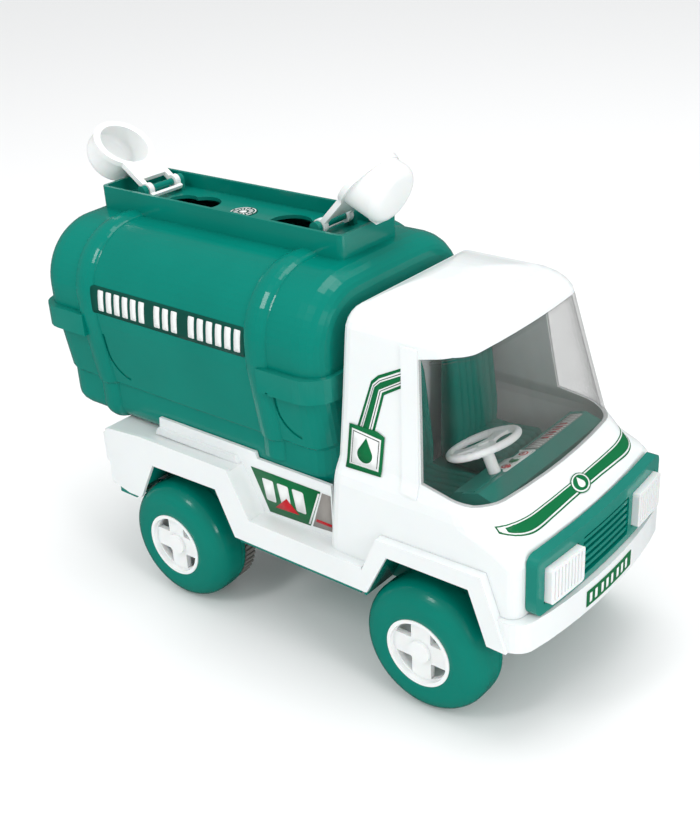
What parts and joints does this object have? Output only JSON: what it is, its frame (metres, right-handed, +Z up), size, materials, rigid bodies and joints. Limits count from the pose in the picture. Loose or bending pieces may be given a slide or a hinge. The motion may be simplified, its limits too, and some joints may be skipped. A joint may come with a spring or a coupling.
{
  "type": "toy tanker truck",
  "caption": "Friction-powered toy tanker truck: tilted-glass cab, ribbed oval tank with hinged filler lids, spoked wheels and a geared flywheel drive.",
  "frame": {"origin": "middle of the bounding box in plan, on the surface the tyres stand on", "axes": "+X forwards, the way the cab faces; +Y to the truck's left; +Z up"},
  "size_m": [0.3478, 0.15, 0.2617],
  "materials": {
    "white_body": "glossy moulded plastic, ivory white",
    "white_fittings": "glossy moulded plastic, white",
    "lamp": "glossy milky plastic with vertical flutes",
    "smoke_glazing": "clear smoke-tinted plastic",
    "green_body": "glossy moulded plastic, blue-green",
    "tyre": "smooth blue-green plastic with a soft shine",
    "traction_rubber": "grey-brown ribbed rubber",
    "motor_case": "matte dark plastic",
    "gear_plastic": "natural nylon",
    "bright_steel": "drawn steel",
    "flywheel_steel": "pressed steel, oiled",
    "dark_print": "printed film",
    "white_print": "printed film",
    "green_print": "printed film"
  },
  "bodies": {
    "truck_body": {"cab_shell": "white_body", "windshield": "smoke_glazing", "chassis_body": "white_body", "underbody": "green_body", "tank_upper_shell": "green_body", "tank_lower_shell": "green_body", "grille": "green_body", "headlight_left": "lamp", "headlight_right": "lamp", "dashboard": "green_body", "cab_floor": "green_body", "driver_seat": "green_body", "passenger_seat": "green_body", "rear_hinge_bar": "green_body", "front_hinge_bar": "green_body", "motor_case_left": "motor_case", "motor_case_right": "motor_case", "chassis_screws": "bright_steel", "motor_screws": "bright_steel", "number_plate": "green_print", "tank_labels": "green_print", "chassis_decals": "green_print", "cab_decals": "green_print", "tray_emblem": "dark_print", "instrument_sticker": "white_print"},
    "front_wheels": {"front_axle": "bright_steel", "front_left_tyre": "tyre", "front_right_tyre": "tyre", "front_left_rim": "white_fittings", "front_right_rim": "white_fittings"},
    "rear_wheels": {"rear_axle": "bright_steel", "rear_left_tyre": "tyre", "rear_right_tyre": "tyre", "rear_left_rim": "white_fittings", "rear_right_rim": "white_fittings", "traction_ring_left": "traction_rubber", "traction_ring_right": "traction_rubber", "axle_gear": "gear_plastic"},
    "idler": {"idler_shaft": "bright_steel", "idler_gear": "gear_plastic"},
    "flywheel_group": {"flywheel_shaft": "bright_steel", "flywheel_pinion": "gear_plastic", "flywheel": "flywheel_steel"},
    "steering": {"steering_wheel": "white_fittings"},
    "rear_filler_lid": {"rear_lid": "white_fittings"},
    "front_filler_lid": {"front_lid": "white_fittings"}
  },
  "joints": [
    {"name": "front_axle_spin", "type": "hinge", "parent": "truck_body", "child": "front_wheels", "pos_m": [0.10862, 0, 0.0365], "axis": [0, 1, 0], "continuous": true},
    {"name": "rear_axle_spin", "type": "hinge", "parent": "truck_body", "child": "rear_wheels", "pos_m": [-0.06538, 0, 0.0365], "axis": [0, 1, 0], "continuous": true},
    {"name": "idler_spin", "type": "hinge", "parent": "truck_body", "child": "idler", "pos_m": [-0.05035, 0, 0.04197], "axis": [0, 1, 0], "continuous": true},
    {"name": "flywheel_spin", "type": "hinge", "parent": "truck_body", "child": "flywheel_group", "pos_m": [-0.03435, 0, 0.04197], "axis": [0, 1, 0], "continuous": true},
    {"name": "steering_turn", "type": "hinge", "parent": "truck_body", "child": "steering", "pos_m": [0.11712, -0.028, 0.1365], "axis": [-0.4226, 0, 0.9063], "continuous": true},
    {"name": "rear_lid_hinge", "type": "hinge", "parent": "truck_body", "child": "rear_filler_lid", "pos_m": [-0.12288, 0, 0.2225], "axis": [0, 1, 0], "range_deg": [0, 149.5]},
    {"name": "front_lid_hinge", "type": "hinge", "parent": "truck_body", "child": "front_filler_lid", "pos_m": [0.00662, 0, 0.2225], "axis": [0, -1, 0], "range_deg": [0, 138.5]}
  ],
  "couplings": [
    {"joint": "idler_spin", "follows": "rear_axle_spin", "ratio": -3},
    {"joint": "flywheel_spin", "follows": "rear_axle_spin", "ratio": 9}
  ]
}
